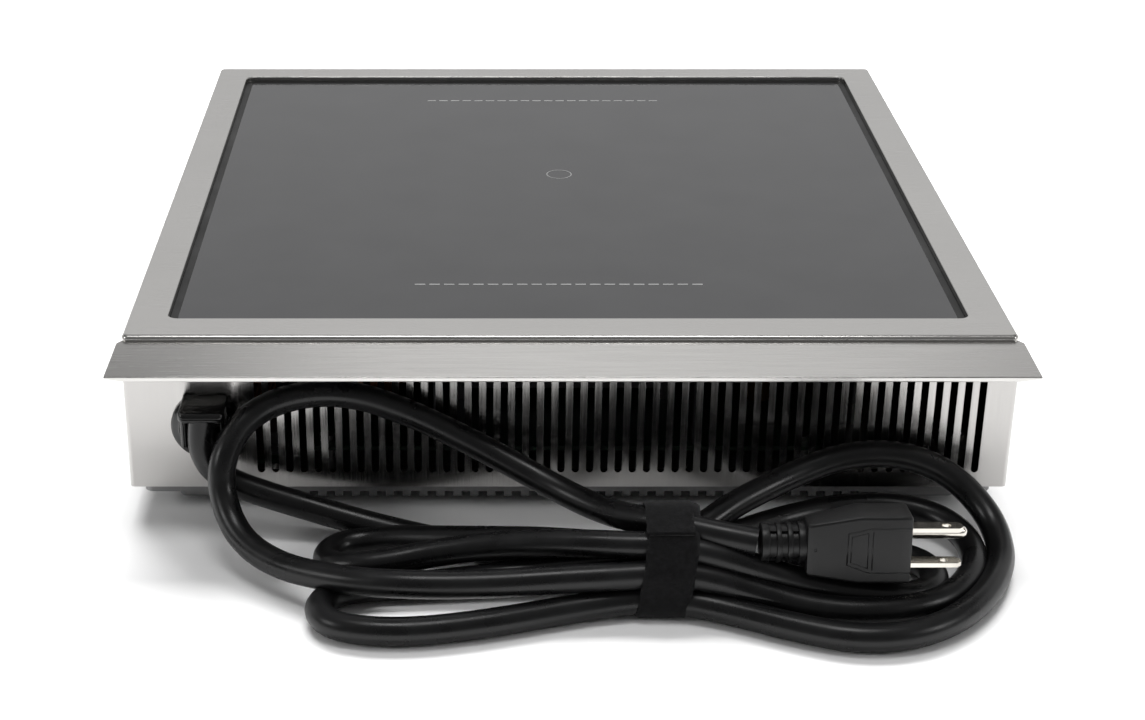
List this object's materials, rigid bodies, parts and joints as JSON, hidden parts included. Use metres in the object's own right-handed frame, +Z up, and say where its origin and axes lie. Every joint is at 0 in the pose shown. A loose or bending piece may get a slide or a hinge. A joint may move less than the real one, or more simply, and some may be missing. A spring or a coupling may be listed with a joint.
{
  "type": "electric induction cooktop",
  "caption": "Low countertop induction cooktop: stepped steel case, recessed dark glass top, sloping control face, slotted rear wall, strapped mains cord with plug.",
  "frame": {"origin": "floor level under the middle of the case", "axes": "+Z up, -Y towards the control face, +Y towards the slotted rear wall and the cord, +X to the right seen from the controls"},
  "size_m": [0.3346, 0.4821, 0.07],
  "materials": {
    "deck_steel": "brushed stainless steel, grain across the width",
    "shell_steel": "fine brushed stainless steel sheet",
    "pan_steel": "satin grey coated steel sheet",
    "ceramic_glass": "opaque black glass-ceramic, polished, faint print",
    "silicone_seal": "matte black silicone",
    "overlay_film": "satin black polycarbonate film",
    "smoked_lens": "polished dark red lens",
    "circuit_board": "green solder mask",
    "inner_plastic": "moulded glass-filled plastic",
    "lamp_lens": "translucent red light pipe",
    "button_plastic": "fine-textured pale grey caps",
    "knob_plastic": "fine-textured black",
    "zinc_parts": "bright zinc plate",
    "foot_rubber": "matte black rubber",
    "mica": "pressed mica",
    "coil_copper": "varnished copper wire",
    "ferrite": "sintered dark grey",
    "tray_aluminium": "mill finish",
    "capacitor_case": "moulded cases and sleeves",
    "terminal_plastic": "moulded ivory plastic and tinned tabs",
    "fan_plastic": "moulded black plastic",
    "lead_insulation": "flexible insulation",
    "cord_jacket": "satin black flexible jacket",
    "strap_fabric": "black hook-and-loop tape",
    "relief_plastic": "polished black plastic",
    "plug_rubber": "satin black moulding",
    "plug_metal": "nickel-plated brass"
  },
  "bodies": {
    "housing": {"air_duct": "inner_plastic", "body_shell": "shell_steel", "bottom_pan": "pan_steel", "button_switches": "inner_plastic", "capacitors": "capacitor_case", "coil_buffers": "foot_rubber", "coil_carrier": "inner_plastic", "coil_leads": "lead_insulation", "control_board": "circuit_board", "cord_hank": "cord_jacket", "cord_relief": "relief_plastic", "cord_strap": "strap_fabric", "deck_nuts": "zinc_parts", "display_module": "inner_plastic", "display_window": "smoked_lens", "encoder": "zinc_parts", "encoder_nut": "zinc_parts", "fan_frame_left": "fan_plastic", "fan_frame_right": "fan_plastic", "fan_screws": "zinc_parts", "fascia_overlay": "overlay_film", "feet": "foot_rubber", "ferrite_bars": "ferrite", "filter_board": "circuit_board", "filter_choke": "coil_copper", "foot_screws": "zinc_parts", "front_fascia": "shell_steel", "fuse_holder": "inner_plastic", "glass_plate": "ceramic_glass", "glass_seal": "silicone_seal", "glass_sensor": "zinc_parts", "heat_sink": "tray_aluminium", "indicator_lenses": "lamp_lens", "induction_coil": "coil_copper", "inner_screws": "zinc_parts", "mains_leads": "lead_insulation", "mica_sheet": "mica", "pan_nuts": "zinc_parts", "pan_screws": "zinc_parts", "plug_blades": "plug_metal", "plug_body": "plug_rubber", "plug_ground_pin": "plug_metal", "power_board": "circuit_board", "power_choke": "coil_copper", "power_cord": "cord_jacket", "power_devices": "inner_plastic", "ribbon_cable": "lead_insulation", "sensor_holder": "inner_plastic", "shield_tray": "tray_aluminium", "standoffs": "zinc_parts", "terminal_blocks": "terminal_plastic", "top_deck": "deck_steel"},
    "dial": {"knob": "knob_plastic", "knob_shaft": "zinc_parts"},
    "power_key": {"power_button": "button_plastic"},
    "mode_key": {"mode_button": "button_plastic"},
    "timer_key": {"timer_button": "button_plastic"},
    "left_fan": {"fan_rotor_left": "fan_plastic"},
    "right_fan": {"fan_rotor_right": "fan_plastic"}
  },
  "joints": [
    {"name": "dial_turn", "type": "hinge", "parent": "housing", "child": "dial", "pos_m": [0.096, -0.18181, 0.04315], "axis": [0, -0.6859, 0.7277], "continuous": true},
    {"name": "power_press", "type": "slide", "parent": "housing", "child": "power_key", "axis": [0, 0.6859, -0.7277], "range_m": [0, 0.001], "stiffness_N_per_m": 1500},
    {"name": "mode_press", "type": "slide", "parent": "housing", "child": "mode_key", "axis": [0, 0.6859, -0.7277], "range_m": [0, 0.001], "stiffness_N_per_m": 1500},
    {"name": "timer_press", "type": "slide", "parent": "housing", "child": "timer_key", "axis": [0, 0.6859, -0.7277], "range_m": [0, 0.001], "stiffness_N_per_m": 1500},
    {"name": "left_fan_spin", "type": "hinge", "parent": "housing", "child": "left_fan", "pos_m": [0.072, -0.072, 0.0187], "axis": [0, 0, 1], "continuous": true},
    {"name": "right_fan_spin", "type": "hinge", "parent": "housing", "child": "right_fan", "pos_m": [-0.072, -0.072, 0.0187], "axis": [0, 0, 1], "continuous": true}
  ]
}
